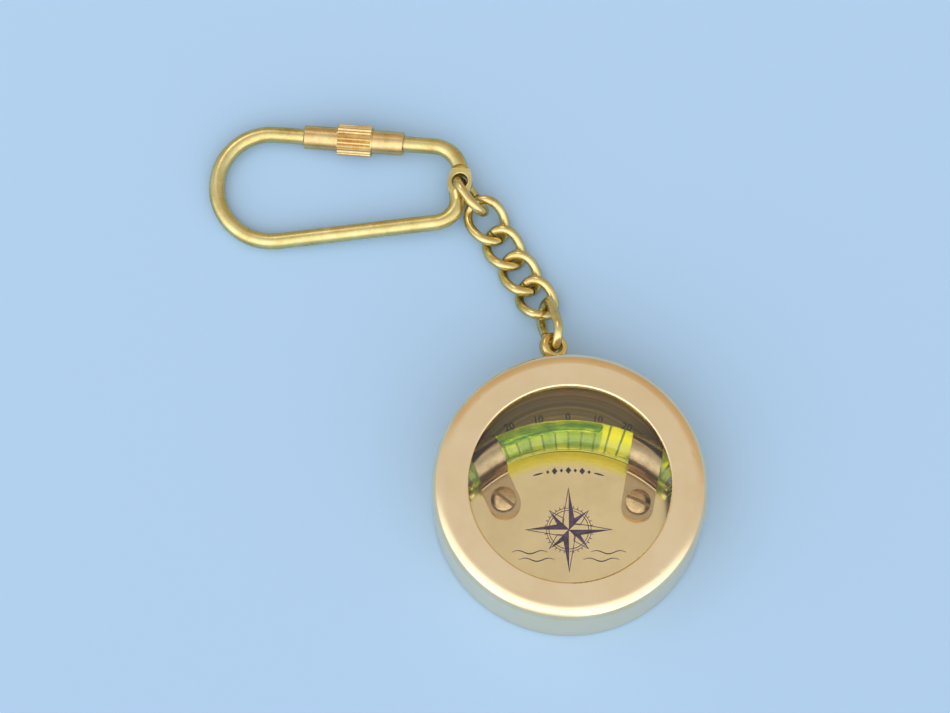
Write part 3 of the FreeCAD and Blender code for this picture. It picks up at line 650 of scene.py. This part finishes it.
def number_mesh(name, word):
    """A word's mesh, about the origin."""
    text = bpy.data.curves.new(name, "FONT")
    text.body = word
    text.size = NUMBER_SIZE * MM
    text.offset = NUMBER_WEIGHT * MM
    text.align_x = "CENTER"
    text.align_y = "CENTER"
    text.extrude = PRINT_T / 2 * MM
    text.resolution_u = 4
    shown = added(name + "_text", text)
    bpy.context.view_layer.update()
    mesh = bpy.data.meshes.new_from_object(shown)
    bpy.data.objects.remove(shown)
    mesh.name = name
    mesh.materials.clear()
    mesh.materials.append(INK)
    return mesh


def numerals():
    """The angles at the scale, each with its foot towards the arc's centre."""
    for k in range(-NUMBERS_EACH_WAY, NUMBERS_EACH_WAY + 1):
        name = "dial_number_%d" % (k + NUMBERS_EACH_WAY + 1)
        mesh = number_mesh(name, str(abs(k) * NUMBER_STEP))
        x, y = on_arc(NUMBER_R, k * NUMBER_STEP)
        turn = math.radians(-k * NUMBER_STEP)
        for v in mesh.vertices:
            px, py = v.co.x, v.co.y
            v.co.x = x * MM + px * math.cos(turn) - py * math.sin(turn)
            v.co.y = y * MM + px * math.sin(turn) + py * math.cos(turn)
            v.co.z = v.co.z + (DIAL_Z + PRINT_T / 2) * MM
        obj = added(name, mesh)
        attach(obj, "case")


numerals()

# a compass rose of four long and four short points, each with a filled half and an outlined half
ROSE = (0.0, -5.4)  # its centre
LINE = 0.13  # width of its lines
LONG_TIP_R = 7.3
LONG_WAIST_R = 1.55
SHORT_TIP_R = 4.7
SHORT_ROOT_R = 1.3
SHORT_WAIST_R = 2.1
SHORT_WAIST_DEG = 22
INNER_RING_R = 3.35
OUTER_RING_R = 3.75
OUTER_RING_LINE = LINE * 0.8
TICK_END_R = 4.15
TICKS = 32  # places round the ring, of which each fourth is left to a point
RING_SIDES = 72


def rose_at(radius, degrees):
    """A point about the rose's centre, clockwise from its top point."""
    a = math.radians(degrees)
    return (ROSE[0] + radius * math.sin(a), ROSE[1] + radius * math.cos(a))


def ring(radius, width):
    """Narrow quads side by side round the rose's centre."""
    out = []
    for i in range(RING_SIDES):
        a, b = 360 * i / RING_SIDES, 360 * (i + 1) / RING_SIDES
        out.append([rose_at(radius + width / 2, a), rose_at(radius + width / 2, b),
                    rose_at(radius - width / 2, b), rose_at(radius - width / 2, a)])
    return out


rose = []
for k in range(4):
    a = 90 * k + 45
    root, tip = rose_at(SHORT_ROOT_R, a), rose_at(SHORT_TIP_R, a)
    rose.append([root, rose_at(SHORT_WAIST_R, a - SHORT_WAIST_DEG), tip])
    rose += stroke([root, rose_at(SHORT_WAIST_R, a + SHORT_WAIST_DEG), tip], LINE)
for k in range(4):
    a = 90 * k
    tip = rose_at(LONG_TIP_R, a)
    rose.append([ROSE, rose_at(LONG_WAIST_R, a + 45), tip])
    rose += stroke([tip, rose_at(LONG_WAIST_R, a - 45), ROSE], LINE)
rose += ring(INNER_RING_R, LINE) + ring(OUTER_RING_R, OUTER_RING_LINE)
for k in range(TICKS):
    if k % 4:
        a = k * 360 / TICKS
        rose += stroke([rose_at(OUTER_RING_R, a), rose_at(TICK_END_R, a)], LINE)
plates("dial_rose", rose, PURPLE_INK)

# two wave lines on each side of the rose's foot
WAVE_ROWS = ((-9.3, 3.6, 9.6), (-10.6, 2.4, 8.4))  # height on the dial, near end and far end
WAVE_HEIGHT = 0.28
WAVE_TURNS = 1.5
WAVE_STEPS = 24
WAVE_LINE = 0.2
waves = []
for side in (-1, 1):
    for y0, x0, x1 in WAVE_ROWS:
        line = []
        for i in range(WAVE_STEPS + 1):
            share = i / WAVE_STEPS
            line.append((side * (x0 + (x1 - x0) * share),
                         y0 + WAVE_HEIGHT * math.sin(share * 2 * math.pi * WAVE_TURNS)))
        waves.append(ribbon(line, WAVE_LINE))
plates("dial_scrolls", waves, PURPLE_INK)

# rows of diamonds over the rose and at the foot of the dial
TITLE_R = 19.75  # from the arc's centre
TITLE_STEP = 3.4  # degrees from diamond to diamond
TITLE_EACH_WAY = 3  # diamonds on each side of the middle one
TITLE_SIZES = (0.62, 0.36)  # large and small ones by turns
TITLE_ASPECT = 0.8
DASH_START, DASH_STEP, DASH_POINTS = 12.6, 0.25, 21  # the dash at each end of the row, in degrees
DASH_LINE = 0.3
FOOT_R = 16.6  # from the dial's centre
FOOT_STEP = 8
FOOT_EACH_WAY = 4
FOOT_SIZES = (0.7, 0.4)
FOOT_ASPECT = 0.7
trim = []
for k in range(-TITLE_EACH_WAY, TITLE_EACH_WAY + 1):
    x, y = on_arc(TITLE_R, k * TITLE_STEP)
    trim.append(diamond(x, y, TITLE_SIZES[k % 2], TITLE_ASPECT))
for side in (-1, 1):
    dash = [on_arc(TITLE_R, side * (DASH_START + i * DASH_STEP)) for i in range(DASH_POINTS)]
    trim.append(ribbon(dash, DASH_LINE))
for k in range(-FOOT_EACH_WAY, FOOT_EACH_WAY + 1):
    a = math.radians(180 + k * FOOT_STEP)
    trim.append(diamond(FOOT_R * math.sin(a), FOOT_R * math.cos(a), FOOT_SIZES[k % 2], FOOT_ASPECT))
plates("dial_trim", trim, INK)

# ---------------------------------------------------------------- floor
FLOOR_HALF = 2.5  # in metres
FLOOR_GAP = 0.03  # a hair, so that floor and case don't share one plane


def pale_floor():
    """A wide plain square in pale blue."""
    bm = bmesh.new()
    bmesh.ops.create_grid(bm, x_segments=1, y_segments=1, size=FLOOR_HALF)
    mesh = bpy.data.meshes.new("floor")
    bm.to_mesh(mesh)
    bm.free()
    g = new_graph("pale_floor")
    mesh.materials.append(g.surface(g.principled(Base_Color=linear(168, 200, 233), Roughness=0.9,
                                                 Specular_IOR_Level=0.1)))
    obj = added("floor", mesh)
    obj.location.z = -FLOOR_GAP * MM
    return obj


floor = pale_floor()

# ---------------------------------------------------------------- light
# the room's tones run along this axis, from its dim warm side to its bright one
ROOM_AXIS = (-0.17, -0.985, 0.0)
ROOM_STRENGTH = 1.86
ROOM_TONES = [(0.0, (0.29, 0.225, 0.15)), (0.24, (0.335, 0.27, 0.185)), (0.34, (0.378, 0.363, 0.346)),
              (0.48, (0.40, 0.396, 0.387)), (0.58, (0.66, 0.66, 0.655)), (0.72, (0.86, 0.87, 0.88)),
              (0.82, (1.0, 1.0, 1.0)), (0.94, (1.0, 1.0, 1.0)), (1.0, (0.43, 0.43, 0.43))]


def studio():
    """A soft room whose tone changes from one side to the other."""
    g = Graph(bpy.data.worlds.new("studio"), "ShaderNodeOutputWorld")
    coords = g.add("ShaderNodeTexCoord")
    side = g.add("ShaderNodeVectorMath", operation="DOT_PRODUCT")
    g.put(side.inputs[0], coords.outputs["Generated"])
    side.inputs[1].default_value = ROOM_AXIS
    tone = g.ramp(g.spread(side.outputs["Value"], (-1.0, 1.0)), [(at, (*c, 1)) for at, c in ROOM_TONES])
    room = g.add("ShaderNodeBackground")
    g.put(room.inputs["Color"], tone)
    room.inputs["Strength"].default_value = ROOM_STRENGTH
    return g.surface(room)


def lamp(name, place, aim, side, power):
    """A square lamp, with its places and its side in metres."""
    data = bpy.data.lights.new(name, "AREA")
    data.shape = "RECTANGLE"
    data.size, data.size_y = side, side
    data.energy = power
    obj = added(name, data)
    obj.location = place
    obj.rotation_euler = (Vector(aim) - Vector(place)).to_track_quat("-Z", "Y").to_euler()
    return obj


bpy.context.scene.world = studio()
key = lamp("key", place=(-0.42, 0.30, 0.80), aim=(-0.01, 0.02, 0.0), side=0.6, power=0.6)
key.visible_glossy = False
# a second lamp for the satin pieces alone, so that the polished rim keeps its even edge
sheen = lamp("sheen", place=(-0.34, 0.58, 0.70), aim=(-0.02, 0.05, 0.0), side=0.36, power=0.75)
satin = bpy.data.collections.new("satin_pieces")
for name, node in NODES.items():
    if MATERIAL_OF[name] in (CHAIN, CLASP, SLEEVE, EYE):
        satin.objects.link(node)
sheen.light_linking.receiver_collection = satin

# ---------------------------------------------------------------- camera
CAMERA_PLACE = (-0.0158, -0.1489, 0.5582)
CAMERA_TILT_DEG = 17.41  # from straight down
CAMERA_LENS = 128.93
CAMERA_SENSOR = 36.0

camera = added("camera", bpy.data.cameras.new("camera"))
camera.data.sensor_width = CAMERA_SENSOR
camera.data.lens = CAMERA_LENS
camera.data.clip_start = 0.02
camera.location = CAMERA_PLACE
camera.rotation_euler = (math.radians(CAMERA_TILT_DEG), 0, 0)
bpy.context.scene.camera = camera

# the light goes through the crystal, the vial, its fluid and the bubble to the dial and back
CLEAR_BOUNCES = 32
cycles = bpy.context.scene.cycles
cycles.max_bounces = CLEAR_BOUNCES
cycles.transmission_bounces = CLEAR_BOUNCES
cycles.transparent_max_bounces = CLEAR_BOUNCES
cycles.glossy_bounces = 10
bpy.context.scene.view_settings.view_transform = "Standard"
